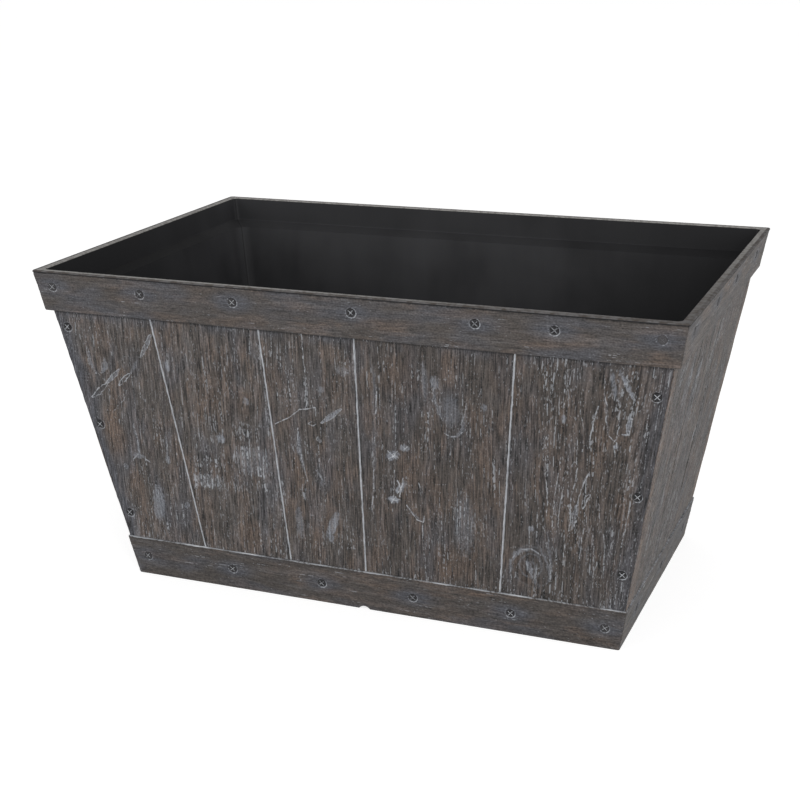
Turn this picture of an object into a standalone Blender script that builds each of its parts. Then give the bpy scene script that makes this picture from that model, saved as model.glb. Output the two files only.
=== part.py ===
# Planter box: a moulded black tub dressed with weathered boards.
# Four walls lean out by the same angle. Tapered staves stand on mitred base boards, the tub's shoulder
# sits on their tops, and mitred rim boards lap over them under the tub's lip.
# Countersunk screws hold the rim and base boards, and the outer staves, to the tub.
# The origin is on the ground under the middle of the box. +X is along the length, -Y is the front.

from math import cos, pi, radians, sin, tan

import bmesh
import bpy
from mathutils import Matrix, Vector

# ---- driving dimensions, metres ----
TOP_LENGTH = 0.610          # over the lip, along X
TOP_WIDTH = 0.404           # over the lip, along Y
HEIGHT = 0.320              # ground to the top of the lip
WALL_SLOPE = radians(9.7)   # every wall leans out from the vertical
FIT_GAP = 0.0003            # between pieces that touch

RIM_BOARD = 0.0047          # thickness
RIM_BOARD_HEIGHT = 0.0370
STAVE_LAP = 0.0075          # how far the rim boards cover the stave tops
BASE_BOARD_HEIGHT = 0.0415
BASE_PROUD = 0.0012         # the base boards stand out past the staves
STAVE = 0.0070              # thickness, also the part of a base board behind the stave face
BOARD_ARRIS = 0.0006        # eased edges of rim and base boards
STAVE_ARRIS = 0.0012        # eased edges of the long walls' staves, which make the V joints
END_STAVE_ARRIS = 0.0004    # the end walls' joints are tight

# stave widths from left to right seen from outside, under the rim and above the base
LONG_HEADS = (0.104, 0.110, 0.092, 0.145, 0.133)
LONG_FEET = (0.087, 0.093, 0.078, 0.132, 0.117)
END_HEADS = (0.128, 0.108, 0.155)
END_FEET = (0.092, 0.077, 0.110)

LIP_THICKNESS = 0.0016
LIP_CORNER = 0.0030         # radius in plan
TUB_WALL = 0.0028
TUB_FLOOR = 0.0035
TUB_OUTER_CORNER = 0.0040   # radius in plan, behind the mitred staves
TUB_INNER_CORNER = 0.0140   # the difference makes a pillar that takes the edge screws
TUB_FILLET = 0.0080         # where the walls meet the floor
LEDGE_RISE = 0.0060         # the sloping top of the inner shoulder
CORNER_STEPS = 6

FOOT_HEIGHT = 0.0040
FOOT_RADIUS = 0.0130
FOOT_INSET = 0.0300         # foot centre from the tub's outer wall
DRAIN_RADIUS = 0.0060
DRAIN_SPACING_X = 0.2200
DRAIN_SPACING_Y = 0.1100

NOTCH_WIDTH = 0.0110        # weep notch under the front and back base boards
NOTCH_HEIGHT = 0.0030

# places of the screws in per cent of the wall's half length, from left to right seen from outside
LONG_RIM_SCREWS_PERCENT = (-94.4, -63.6, -32.5, 5.2, 42.1, 64.6, 93.7)
LONG_BASE_SCREWS_PERCENT = (-93.2, -55.2, -17.0, 20.2, 58.2, 93.2)
END_RIM_SCREWS_PERCENT = (-82.0, -30.7, 15.1, 70.4)
END_BASE_SCREWS_PERCENT = (-63.9, 6.7, 75.4)
LEFT_EDGE_SCREWS_PERCENT = (92.9, 51.1, 11.2)     # of the height from the base board to the rim board
RIGHT_EDGE_SCREWS_PERCENT = (88.1, 48.5, 15.5)
EDGE_SCREW_INSET = 0.0026   # from the tub's outer face round the corner
RIM_SCREW_DROP = 0.0150     # below the top of the lip
BASE_SCREW_HEIGHT = 0.0215
SCREW_HEAD_RADIUS = 0.0041
SCREW_HEAD_DEPTH = 0.0026
SCREW_HEAD_EDGE = 0.0003    # the head's thin rim, and how far the head is sunk
SCREW_RADIUS = 0.0017
SCREW_TIP = 0.0005
SCREW_COVER = 0.0010        # tub wall left beyond a tip, so that the tub stays tight
EDGE_SCREW_BITE = 0.0060    # into the tub's corner pillar
SCREW_SIDES = 16
CROSS_LENGTH = 0.0048
CROSS_WIDTH = 0.0010
CROSS_DEPTH = 0.0012

LEAN = tan(WALL_SLOPE)
OVERCUT = 0.02              # how far a blank or a cutter runs past what it is cut by or cuts

LIP_UNDERSIDE = HEIGHT - LIP_THICKNESS
RIM_TOP = LIP_UNDERSIDE - FIT_GAP
RIM_BOTTOM = RIM_TOP - RIM_BOARD_HEIGHT
SHOULDER = RIM_BOTTOM + STAVE_LAP
STAVE_TOP = SHOULDER - FIT_GAP
STAVE_BOTTOM = BASE_BOARD_HEIGHT + FIT_GAP


def across(thickness):
    """A thickness measured level through a leaning wall."""
    return thickness / cos(WALL_SLOPE)


RIM_OUT = across(RIM_BOARD) + FIT_GAP     # rim board's face to the stave face, measured level
TUB_BEHIND = across(STAVE) + FIT_GAP      # stave face to the tub's outer face


def reach(half_top, z, inward=0.0):
    """Distance from the middle of the box to a point `inward` of the stave face, at height z."""
    return half_top - RIM_OUT - (HEIGHT - z) * LEAN - inward


# each wall is modelled as the front one and turned into its place
WALLS = {
    "front": {"turn": 0.0, "out": TOP_WIDTH / 2, "span": TOP_LENGTH / 2},
    "right": {"turn": pi / 2, "out": TOP_LENGTH / 2, "span": TOP_WIDTH / 2},
    "back": {"turn": pi, "out": TOP_WIDTH / 2, "span": TOP_LENGTH / 2},
    "left": {"turn": -pi / 2, "out": TOP_LENGTH / 2, "span": TOP_WIDTH / 2},
}


def clear_scene():
    for obj in list(bpy.data.objects):
        bpy.data.objects.remove(obj, do_unlink=True)


def make_material(name, colour, roughness):
    material = bpy.data.materials.new(name)
    material.use_nodes = True
    shader = material.node_tree.nodes["Principled BSDF"]
    shader.inputs["Base Color"].default_value = (*colour, 1.0)
    shader.inputs["Roughness"].default_value = roughness
    shader.inputs["Metallic"].default_value = 0.0
    return material


def make_object(name, bm, material=None):
    mesh = bpy.data.meshes.new(name)
    bmesh.ops.recalc_face_normals(bm, faces=bm.faces)
    bm.to_mesh(mesh)
    bm.free()
    obj = bpy.data.objects.new(name, mesh)
    bpy.context.scene.collection.objects.link(obj)
    if material:
        mesh.materials.append(material)
    return obj


def ease_edges(obj, width):
    bevel = obj.modifiers.new("eased edges", "BEVEL")
    bevel.width = width
    bevel.segments = 1
    bevel.limit_method = "ANGLE"
    bevel.angle_limit = radians(30)


def cut_away(obj, cutter, operation="DIFFERENCE"):
    cutter.hide_render = True
    cutter.display_type = "WIRE"
    boolean = obj.modifiers.new(cutter.name, "BOOLEAN")
    boolean.operation = operation
    boolean.object = cutter


def mitre_plane(wall, side):
    """The upright plane at 45 degrees through a corner, set back by half the gap."""
    normal = Vector((side, 1, 0)).normalized()
    corner = Vector((side * wall["span"], -wall["out"], HEIGHT))
    return corner - normal * FIT_GAP / 2, normal


def joint_plane(wall, head, foot, side):
    """The plane of a stave's edge, square to the wall's face, set back by half the gap."""
    top = Vector((head, -reach(wall["out"], STAVE_TOP), STAVE_TOP))
    bottom = Vector((foot, -reach(wall["out"], STAVE_BOTTOM), STAVE_BOTTOM))
    face_normal = Vector((0, -1, -LEAN)).normalized()
    normal = (top - bottom).cross(face_normal).normalized()
    if normal.x * side < 0:
        normal.negate()
    return top - normal * FIT_GAP / 2, normal


def wall_board(name, wall, inward, heights, planes, material, arris):
    """A leaning board: its level depths `inward` of the stave face, its heights and its two end planes."""
    long_enough = wall["span"] + OVERCUT
    outer, inner = inward
    low, high = heights
    profile = [(outer, low), (inner, low), (inner, high), (outer, high)]
    bm = bmesh.new()
    corners = [bm.verts.new((-long_enough, -reach(wall["out"], z, depth), z)) for depth, z in profile]
    face = bm.faces.new(corners)
    run = bmesh.ops.extrude_face_region(bm, geom=[face])
    moved = [item for item in run["geom"] if isinstance(item, bmesh.types.BMVert)]
    bmesh.ops.translate(bm, verts=moved, vec=(2 * long_enough, 0, 0))
    for point, normal in planes:
        geometry = bm.verts[:] + bm.edges[:] + bm.faces[:]
        cut = bmesh.ops.bisect_plane(bm, geom=geometry, plane_co=point, plane_no=normal, clear_outer=True)
        rim = [item for item in cut["geom_cut"] if isinstance(item, bmesh.types.BMEdge)]
        bmesh.ops.contextual_create(bm, geom=rim)
    bmesh.ops.rotate(bm, verts=bm.verts, cent=(0, 0, 0), matrix=Matrix.Rotation(wall["turn"], 3, "Z"))
    board = make_object(name, bm, material)
    ease_edges(board, arris)
    return board


def joints_along(widths, half_run):
    """Where the joints fall when the widths fill a run of twice half_run."""
    places = []
    travelled = 0.0
    for width in widths[:-1]:
        travelled += width
        places.append(half_run * (2 * travelled / sum(widths) - 1))
    return places


def make_staves(side_name, heads, feet, arris):
    wall = WALLS[side_name]
    head_joints = joints_along(heads, reach(wall["span"], STAVE_TOP))
    foot_joints = joints_along(feet, reach(wall["span"], STAVE_BOTTOM))
    joints = list(zip(head_joints, foot_joints))
    for number in range(len(heads)):
        if number == 0:
            left = mitre_plane(wall, -1)
        else:
            left = joint_plane(wall, *joints[number - 1], -1)
        if number == len(heads) - 1:
            right = mitre_plane(wall, 1)
        else:
            right = joint_plane(wall, *joints[number], 1)
        name = f"{side_name}_stave_{number + 1}"
        material = make_material(name, (0.092, 0.086, 0.083), 0.85)
        heights = (STAVE_BOTTOM, STAVE_TOP)
        wall_board(name, wall, (0.0, across(STAVE)), heights, (left, right), material, arris)


def make_rim_board(side_name):
    wall = WALLS[side_name]
    name = f"{side_name}_rim_board"
    planes = (mitre_plane(wall, -1), mitre_plane(wall, 1))
    material = make_material(name, (0.095, 0.088, 0.084), 0.8)
    wall_board(name, wall, (-RIM_OUT, -FIT_GAP), (RIM_BOTTOM, RIM_TOP), planes, material, BOARD_ARRIS)


def weep_cutter(name):
    """A level rod across the box whose cap, above the ground, is the weep notch."""
    radius = (NOTCH_WIDTH ** 2 / 4 + NOTCH_HEIGHT ** 2) / (2 * NOTCH_HEIGHT)
    bm = bmesh.new()
    bmesh.ops.create_cone(bm, cap_ends=True, segments=48, radius1=radius, radius2=radius, depth=TOP_WIDTH)
    bmesh.ops.rotate(bm, verts=bm.verts, cent=(0, 0, 0), matrix=Matrix.Rotation(pi / 2, 3, "X"))
    bmesh.ops.translate(bm, verts=bm.verts, vec=(0, 0, NOTCH_HEIGHT - radius))
    return make_object(name, bm)


def make_base_board(side_name, notched):
    wall = WALLS[side_name]
    name = f"{side_name}_base_board"
    planes = (mitre_plane(wall, -1), mitre_plane(wall, 1))
    material = make_material(name, (0.085, 0.080, 0.079), 0.8)
    depths = (-across(BASE_PROUD), across(STAVE))
    board = wall_board(name, wall, depths, (0.0, BASE_BOARD_HEIGHT), planes, material, BOARD_ARRIS)
    if notched:
        cut_away(board, weep_cutter(f"{name}_weep_cutter"))


def ring(bm, inward, z, corner_radius):
    """A level loop that follows the four walls at one depth and height, with rounded corners."""
    half_x = reach(TOP_LENGTH / 2, z, inward)
    half_y = reach(TOP_WIDTH / 2, z, inward)
    verts = []
    for quarter in range(4):
        sign_x = (1, -1, -1, 1)[quarter]
        sign_y = (1, 1, -1, -1)[quarter]
        for step in range(CORNER_STEPS + 1):
            angle = (quarter + step / CORNER_STEPS) * pi / 2
            x = sign_x * (half_x - corner_radius) + corner_radius * cos(angle)
            y = sign_y * (half_y - corner_radius) + corner_radius * sin(angle)
            verts.append(bm.verts.new((x, y, z)))
    return verts


def skin(bm, lower, upper):
    """The band of faces between two loops of the same count."""
    for side in range(len(lower)):
        following = (side + 1) % len(lower)
        bm.faces.new((lower[side], lower[following], upper[following], upper[side]))


def fillet_rings(inward, floor, radius, corner_radius, turns):
    """Depth, height and corner radius of the loops that round a wall into a floor."""
    rows = []
    for angle in turns:
        set_in = radius * (1 - sin(angle))
        rows.append((inward + set_in, floor + radius * (1 - cos(angle)), max(corner_radius - set_in, 0.0005)))
    return rows


def make_tub():
    wall = across(TUB_WALL)
    edge = LIP_THICKNESS / 3
    inner_floor = FOOT_HEIGHT + TUB_FLOOR
    ledge_foot = SHOULDER + TUB_WALL / 2
    rising = [radians(30 * step) for step in range(4)]
    lip_inner = LIP_CORNER + wall
    outside = fillet_rings(TUB_BEHIND, FOOT_HEIGHT, TUB_FILLET, TUB_OUTER_CORNER, rising)
    outside += [
        (TUB_BEHIND, SHOULDER, TUB_OUTER_CORNER),
        (0.0, SHOULDER, LIP_CORNER),
        (0.0, LIP_UNDERSIDE, LIP_CORNER),
        (-RIM_OUT - LIP_THICKNESS * LEAN, LIP_UNDERSIDE, LIP_CORNER),
        (-RIM_OUT - edge * LEAN, HEIGHT - edge, LIP_CORNER),
        (-RIM_OUT + edge, HEIGHT, LIP_CORNER),
    ]
    inside = [
        (wall - edge, HEIGHT, lip_inner),
        (wall, HEIGHT - edge, lip_inner),
        (wall, ledge_foot + LEDGE_RISE, lip_inner),
        (TUB_BEHIND + wall, ledge_foot, TUB_INNER_CORNER),
    ]
    falling = reversed(rising)
    inside += fillet_rings(TUB_BEHIND + wall, inner_floor, TUB_FILLET, TUB_INNER_CORNER, falling)
    bm = bmesh.new()
    loops = [ring(bm, *row) for row in outside + inside]
    for lower, upper in zip(loops, loops[1:]):
        skin(bm, lower, upper)
    bm.faces.new(loops[0])
    bm.faces.new(loops[-1])
    tub = make_object("tub", bm, make_material("tub", (0.022, 0.022, 0.024), 0.45))
    cut_away(tub, foot_blanks(), "UNION")
    cut_away(tub, drain_cutters())
    return tub


def upright_rods(name, places, radius, bottom, top, segments):
    bm = bmesh.new()
    for x, y in places:
        place = Matrix.Translation((x, y, (bottom + top) / 2))
        bmesh.ops.create_cone(bm, cap_ends=True, segments=segments, radius1=radius, radius2=radius,
                              depth=top - bottom, matrix=place)
    return make_object(name, bm)


def foot_blanks():
    """Round pads under the floor, three by three, that carry the soil's weight to the ground."""
    far_x = reach(TOP_LENGTH / 2, FOOT_HEIGHT, TUB_BEHIND) - FOOT_INSET
    far_y = reach(TOP_WIDTH / 2, FOOT_HEIGHT, TUB_BEHIND) - FOOT_INSET
    places = [(column * far_x, row * far_y) for column in (-1, 0, 1) for row in (-1, 0, 1)]
    return upright_rods("foot_blanks", places, FOOT_RADIUS, 0.0, FOOT_HEIGHT + TUB_FLOOR / 2, 24)


def drain_cutters():
    far_x = DRAIN_SPACING_X / 2
    far_y = DRAIN_SPACING_Y / 2
    places = [(column * far_x, row * far_y) for column in (-1, 1) for row in (-1, 1)]
    bottom = FOOT_HEIGHT - OVERCUT / 4
    top = FOOT_HEIGHT + TUB_FLOOR + OVERCUT / 4
    return upright_rods("drain_cutters", places, DRAIN_RADIUS, bottom, top, 20)


def skin_turned(bm, profile, place):
    """A closed turned shape: (radius, height) pairs along the axis of `place`."""
    loops = []
    for radius, height in profile:
        angles = [2 * pi * side / SCREW_SIDES for side in range(SCREW_SIDES)]
        points = [place @ Vector((radius * cos(angle), radius * sin(angle), height)) for angle in angles]
        loops.append([bm.verts.new(point) for point in points])
    for lower, upper in zip(loops, loops[1:]):
        skin(bm, lower, upper)
    bm.faces.new(loops[0])
    bm.faces.new(loops[-1])


def screw_place(wall, across_wall, z, inward):
    """The frame of a screw: its origin on the board's face, its Z axis straight out of the wall."""
    origin = Vector((across_wall, -reach(wall["out"], z, inward), z))
    columns = Matrix((
        (1, 0, 0),
        (0, -sin(WALL_SLOPE), -cos(WALL_SLOPE)),
        (0, cos(WALL_SLOPE), -sin(WALL_SLOPE)),
    ))
    turn = Matrix.Rotation(wall["turn"], 4, "Z")
    return turn @ Matrix.Translation(origin) @ columns.to_4x4()


def cross_cutter(name, place):
    """The upright plus-shaped prism that sinks the driver's cross into a head."""
    long_arm = CROSS_LENGTH / 2
    half = CROSS_WIDTH / 2
    quarter = [(half, half), (half, long_arm), (-half, long_arm)]
    outline = []
    for number in range(4):
        turn = Matrix.Rotation(number * pi / 2 + pi / 4, 3, "Z")
        outline += [turn @ Vector((x, y, -CROSS_DEPTH - SCREW_HEAD_EDGE)) for x, y in quarter]
    bm = bmesh.new()
    face = bm.faces.new([bm.verts.new(place @ point) for point in outline])
    run = bmesh.ops.extrude_face_region(bm, geom=[face])
    moved = [item for item in run["geom"] if isinstance(item, bmesh.types.BMVert)]
    rise = place.to_3x3() @ Vector((0, 0, CROSS_DEPTH + OVERCUT / 10))
    bmesh.ops.translate(bm, verts=moved, vec=rise)
    return make_object(name, bm)


def make_screw(name, place, length):
    """A countersunk screw, a little under flush, with a driver's cross."""
    bm = bmesh.new()
    skin_turned(bm, [
        (SCREW_RADIUS - SCREW_TIP, -length),
        (SCREW_RADIUS, -length + SCREW_TIP),
        (SCREW_RADIUS, -SCREW_HEAD_DEPTH),
        (SCREW_HEAD_RADIUS, -2 * SCREW_HEAD_EDGE),
        (SCREW_HEAD_RADIUS, -SCREW_HEAD_EDGE),
    ], place)
    screw = make_object(name, bm, make_material(name, (0.045, 0.045, 0.048), 0.4))
    cut_away(screw, cross_cutter(f"{name}_cross_cutter", place))


def drill(name, places, length, targets):
    """Countersunk holes through a board and blind into the tub, a gap wider than the screws."""
    bm = bmesh.new()
    for place in places:
        skin_turned(bm, [
            (SCREW_RADIUS + FIT_GAP, -length - FIT_GAP),
            (SCREW_RADIUS + FIT_GAP, -SCREW_HEAD_DEPTH - FIT_GAP),
            (SCREW_HEAD_RADIUS + FIT_GAP, -2 * SCREW_HEAD_EDGE - FIT_GAP),
            (SCREW_HEAD_RADIUS + FIT_GAP, OVERCUT / 10),
        ], place)
    cutter = make_object(name, bm)
    for target in targets:
        cut_away(target, cutter)


def fasten(name, wall, board, tub, spots, inward, length):
    """Drill a board at its spots and drive a screw into each."""
    places = [screw_place(wall, across_wall, z, inward) for across_wall, z in spots]
    drill(f"{name}_hole_cutters", places, length, (board, tub))
    for place, number in zip(places, range(1, len(places) + 1)):
        make_screw(f"{name}_{number}", place, length)


def fasten_bands(side_name, tub, rim_percents, base_percents):
    wall = WALLS[side_name]
    rim_z = HEIGHT - RIM_SCREW_DROP
    rim_spots = [(percent / 100 * reach(wall["span"], rim_z, -RIM_OUT), rim_z) for percent in rim_percents]
    bite = TUB_WALL - SCREW_COVER
    rim_board = bpy.data.objects[f"{side_name}_rim_board"]
    fasten(f"{side_name}_rim_screw", wall, rim_board, tub, rim_spots, -RIM_OUT, RIM_BOARD + bite)
    proud = across(BASE_PROUD)
    base_spots = [(percent / 100 * reach(wall["span"], BASE_SCREW_HEIGHT, -proud), BASE_SCREW_HEIGHT)
                  for percent in base_percents]
    base_board = bpy.data.objects[f"{side_name}_base_board"]
    fasten(f"{side_name}_base_screw", wall, base_board, tub, base_spots, -proud, BASE_PROUD + STAVE + bite)


def fasten_edges(side_name, tub):
    wall = WALLS[side_name]
    inset = TUB_BEHIND + EDGE_SCREW_INSET
    edges = (
        ("left_edge", -1, 1, LEFT_EDGE_SCREWS_PERCENT),
        ("right_edge", 1, len(LONG_HEADS), RIGHT_EDGE_SCREWS_PERCENT),
    )
    for label, side, number, percents in edges:
        heights = [STAVE_BOTTOM + percent / 100 * (RIM_BOTTOM - STAVE_BOTTOM) for percent in percents]
        spots = [(side * reach(wall["span"], z, inset), z) for z in heights]
        stave = bpy.data.objects[f"{side_name}_stave_{number}"]
        fasten(f"{side_name}_{label}_screw", wall, stave, tub, spots, 0.0, STAVE + EDGE_SCREW_BITE)


def build():
    clear_scene()
    tub = make_tub()
    for side_name in ("front", "back"):
        make_staves(side_name, LONG_HEADS, LONG_FEET, STAVE_ARRIS)
        make_base_board(side_name, notched=True)
        make_rim_board(side_name)
    for side_name in ("left", "right"):
        make_staves(side_name, END_HEADS, END_FEET, END_STAVE_ARRIS)
        make_base_board(side_name, notched=False)
        make_rim_board(side_name)
    fasten_bands("front", tub, LONG_RIM_SCREWS_PERCENT, LONG_BASE_SCREWS_PERCENT)
    fasten_edges("front", tub)
    fasten_bands("right", tub, END_RIM_SCREWS_PERCENT, END_BASE_SCREWS_PERCENT)


build()
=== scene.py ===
from math import cos, pi, radians, sin, tan

import bmesh
import bpy
import numpy as np
from mathutils import Matrix, Vector


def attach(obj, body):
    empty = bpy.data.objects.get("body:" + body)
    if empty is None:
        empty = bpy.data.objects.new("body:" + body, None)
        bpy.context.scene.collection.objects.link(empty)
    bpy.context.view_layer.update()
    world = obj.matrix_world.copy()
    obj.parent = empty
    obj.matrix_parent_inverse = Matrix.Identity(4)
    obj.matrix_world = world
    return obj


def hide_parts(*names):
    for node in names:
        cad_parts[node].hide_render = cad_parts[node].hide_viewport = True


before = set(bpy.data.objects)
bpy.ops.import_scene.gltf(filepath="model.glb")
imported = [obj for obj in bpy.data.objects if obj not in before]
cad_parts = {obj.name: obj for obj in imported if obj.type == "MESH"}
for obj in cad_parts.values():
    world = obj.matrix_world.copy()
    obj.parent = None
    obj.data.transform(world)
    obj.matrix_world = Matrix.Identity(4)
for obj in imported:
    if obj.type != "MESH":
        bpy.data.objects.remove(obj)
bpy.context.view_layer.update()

# the box's own sizes in metres, the same as the solids'
box = {
    "length": 0.610,
    "width": 0.404,
    "height": 0.320,
    "slope": radians(9.7),
    "gap": 0.0003,
    "rimBoard": 0.0047,
    "rimHeight": 0.0370,
    "staveLap": 0.0075,
    "baseHeight": 0.0415,
    "baseProud": 0.0012,
    "stave": 0.0070,
    "lip": 0.0016,
}
lean = tan(box["slope"])
rimOut = box["rimBoard"] / cos(box["slope"]) + box["gap"]
baseOut = box["baseProud"] / cos(box["slope"])
staveIn = box["stave"] / cos(box["slope"])
rimTop = box["height"] - box["lip"] - box["gap"]
rimBottom = rimTop - box["rimHeight"]
staveTop = rimBottom + box["staveLap"] - box["gap"]
staveBottom = box["baseHeight"] + box["gap"]

walls = {
    "front": {"turn": 0.0, "out": box["width"] / 2, "span": box["length"] / 2, "seed": 10},
    "right": {"turn": pi / 2, "out": box["length"] / 2, "span": box["width"] / 2, "seed": 20},
    "back": {"turn": pi, "out": box["width"] / 2, "span": box["length"] / 2, "seed": 30},
    "left": {"turn": -pi / 2, "out": box["length"] / 2, "span": box["width"] / 2, "seed": 40},
}


def reach(half, z, inward=0.0):
    return half - rimOut - (box["height"] - z) * lean - inward


def heightOf(down):
    # millimetres down the front's slope, from the lip, to a height in metres
    return box["height"] - down / 1000 * cos(box["slope"])


def added(name, data):
    obj = bpy.data.objects.new(name, data)
    bpy.context.scene.collection.objects.link(obj)
    return obj


# the camera, solved together with the box from the photograph's corners
camera = {
    "pixels": 800,              # the picture's side
    "sensor": 36,
    "focalPixels": 1542.9,
    "azimuth": radians(23.395),
    "elevation": radians(18.465),
    "roll": radians(-1.149),
    "target": Vector((-0.03831, -0.07576, 0.160)),
    "distance": 1.49147,
    "centre": (352.0, 424.0),
    "reach": 50,
}


def placeCamera():
    az, el, roll = camera["azimuth"], camera["elevation"], camera["roll"]
    back = Vector((sin(az) * cos(el), -cos(az) * cos(el), sin(el)))
    right = Vector((cos(az), sin(az), 0))
    up = back.cross(right)
    right, up = right * cos(roll) + up * sin(roll), up * cos(roll) - right * sin(roll)
    data = bpy.data.cameras.new("camera")
    pixels = camera["pixels"]
    data.sensor_width = camera["sensor"]
    data.lens = camera["focalPixels"] / pixels * camera["sensor"]
    data.shift_x = (pixels / 2 - camera["centre"][0]) / pixels
    data.shift_y = (camera["centre"][1] - pixels / 2) / pixels
    data.clip_end = camera["reach"]
    obj = added("camera", data)
    turned = Matrix((right, up, back)).transposed().to_4x4()
    obj.matrix_world = Matrix.Translation(camera["target"] + back * camera["distance"]) @ turned
    bpy.context.scene.camera = obj


class Wire:
    # one socket that takes plain arithmetic

    def __init__(self, desk, socket):
        self.desk = desk
        self.socket = socket

    def maths(self, operation, first, second):
        return self.desk.node("ShaderNodeMath", {"operation": operation}, {0: first, 1: second})

    def __add__(self, other):
        return self.maths("ADD", self, other)

    def __radd__(self, other):
        return self.maths("ADD", other, self)

    def __sub__(self, other):
        return self.maths("SUBTRACT", self, other)

    def __rsub__(self, other):
        return self.maths("SUBTRACT", other, self)

    def __mul__(self, other):
        return self.maths("MULTIPLY", self, other)

    def largest(self, other):
        return self.maths("MAXIMUM", self, other)

    def least(self, other):
        return self.maths("MINIMUM", self, other)

    def size(self):
        return self.desk.node("ShaderNodeMath", {"operation": "ABSOLUTE"}, {0: self})


class Desk:
    # a material's nodes, one method for any of them

    def __init__(self, name):
        self.material = bpy.data.materials.new(name)
        self.material.use_nodes = True
        self.tree = self.material.node_tree
        self.shader = self.tree.nodes["Principled BSDF"]

    def node(self, kind, settings=None, values=None, output=0):
        made = self.tree.nodes.new(kind)
        for key, value in (settings or {}).items():
            setattr(made, key, value)
        for key, value in (values or {}).items():
            self.feed(made.inputs[key], value)
        return Wire(self, made.outputs[output])

    def feed(self, socket, value):
        if isinstance(value, Wire):
            self.tree.links.new(value.socket, socket)
        else:
            socket.default_value = value

    def attribute(self, name, output="Vector"):
        return self.node("ShaderNodeAttribute", {"attribute_name": name}, output=output)

    def parts(self, value, kind="ShaderNodeSeparateXYZ"):
        outputs = self.node(kind, values={0: value}).socket.node.outputs
        return [Wire(self, outputs[place]) for place in range(3)]

    def drawn(self):
        # the red, green and blue of the marks
        return self.parts(self.attribute("marks", "Color"), "ShaderNodeSeparateColor")

    def joined(self, x, y, z):
        return self.node("ShaderNodeCombineXYZ", values={0: x, 1: y, 2: z})

    def noise(self, vector, scale=1.0, detail=2.0, roughness=0.5):
        values = {"Vector": vector, "Scale": scale, "Detail": detail, "Roughness": roughness}
        return self.node("ShaderNodeTexNoise", values=values, output="Fac")

    def step(self, value, low, high):
        # 0 below low, 1 above high, smooth between
        values = {"Value": value, "From Min": low, "From Max": high}
        return self.node("ShaderNodeMapRange", {"interpolation_type": "SMOOTHSTEP"}, values, "Result")

    def mixed(self, first, second, factor):
        return self.node("ShaderNodeMix", {"data_type": "RGBA"}, {0: factor, 6: first, 7: second}, 2)

    def scaled(self, colour, amount):
        grey = self.joined(amount, amount, amount)
        return self.node("ShaderNodeVectorMath", {"operation": "MULTIPLY"}, {0: colour, 1: grey})

    def finish(self, colour, roughness, height, depth, strength, shine):
        bump = self.node("ShaderNodeBump", values={"Height": height, "Distance": depth, "Strength": strength})
        values = {"Base Color": colour, "Roughness": roughness, "Normal": bump, "Specular IOR Level": shine}
        for name, value in values.items():
            self.feed(self.shader.inputs[name], value)
        return self.material


def shade(red, green, blue):
    # a colour read off a screen, from 0 to 255, as the shader wants it
    linear = [(c / 255 / 12.92) if c < 11 else ((c / 255 + 0.055) / 1.055) ** 2.4 for c in (red, green, blue)]
    return (*linear, 1.0)


wood = {
    "brown": shade(93, 82, 75),
    "umber": shade(77, 72, 69),
    "slate": shade(78, 81, 89),
    "grey": shade(92, 90, 91),
    "tan": shade(101, 86, 76),
    "pore": shade(36, 33, 33),
    "smear": shade(132, 136, 144),
    "wash": shade(160, 163, 168),
    "bright": shade(205, 207, 211),
    "roughness": 0.62,
    "shine": 0.3,
    "bump": 0.8,
    "bumpDepth": 0.0004,
    "dirtAndShade": 0.6,              # how much darker the darkest place of dirt and painted shade is
    "wander": 6,              # millimetres that the grain strays sideways
    "washLevel": 0.640,       # lower lets more wash stay
    "washSpread": 0.26,       # how unevenly it stays
}

# how each kind of board looks: "fibre", "grit" and "bands" are how strongly fine lines, grains and broad
# streaks differ in light, "short" how many times shorter marks are along the fibre, and "broad" how many
# times wider they are across it
woodLooks = {
    "stave": {"brown": 0.50, "fibre": 2.4, "grit": 1.15, "pore": 0.80, "wash": 0.0, "light": 0.90,
              "short": 1.05, "broad": 0.95, "bands": 0.45},
    "rim": {"brown": 0.36, "fibre": 1.1, "grit": 1.3, "pore": 0.40, "wash": -0.07, "light": 0.84,
            "short": 2.0, "broad": 1.0, "bands": 0.35},
    "base": {"brown": 0.36, "fibre": 1.1, "grit": 1.3, "pore": 0.40, "wash": -0.07, "light": 0.80,
             "short": 2.0, "broad": 1.0, "bands": 0.35},
}
endLooks = {
    "stave": {"brown": 0.58, "fibre": 2.6, "grit": 2.0, "pore": 0.75, "wash": 0.04, "light": 0.81,
              "short": 1.6, "broad": 1.5, "bands": 1.10},
    "rim": {"brown": 0.50, "fibre": 1.6, "grit": 1.8, "pore": 0.50, "wash": -0.03, "light": 0.80,
            "short": 1.6, "broad": 1.4, "bands": 0.70},
    "base": {"brown": 0.35, "fibre": 1.6, "grit": 1.8, "pore": 0.55, "wash": -0.04, "light": 0.69,
             "short": 1.6, "broad": 1.4, "bands": 0.60},
}

# each pattern in the wood: how many waves a millimetre has across and along the fibre, a number that sets it
# apart from the others, its detail and its roughness
woodPatterns = {
    "wander": (0.02, 0.008, 0, 1.0, 0.5),
    "stain": (0.055, 0.020, 3, 3.0, 0.6),
    "cold": (0.040, 0.014, 7, 2.0, 0.5),
    "streaks": (0.22, 0.012, 11, 2.0, 0.6),
    "fibres": (0.62, 0.030, 17, 1.0, 0.7),
    "hairs": (0.85, 0.090, 19, 0.0, 0.5),
    "pores": (0.56, 0.026, 23, 1.0, 0.6),
    "columns": (0.66, 0.022, 31, 1.0, 0.6),
    "breaks": (0.40, 0.23, 33, 1.0, 0.6),
    "scatter": (0.07, 0.026, 37, 2.0, 0.5),
    "grit": (0.85, 0.55, 41, 0.0, 0.5),
    "dust": (1.00, 0.30, 43, 0.0, 0.5),
}


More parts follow.
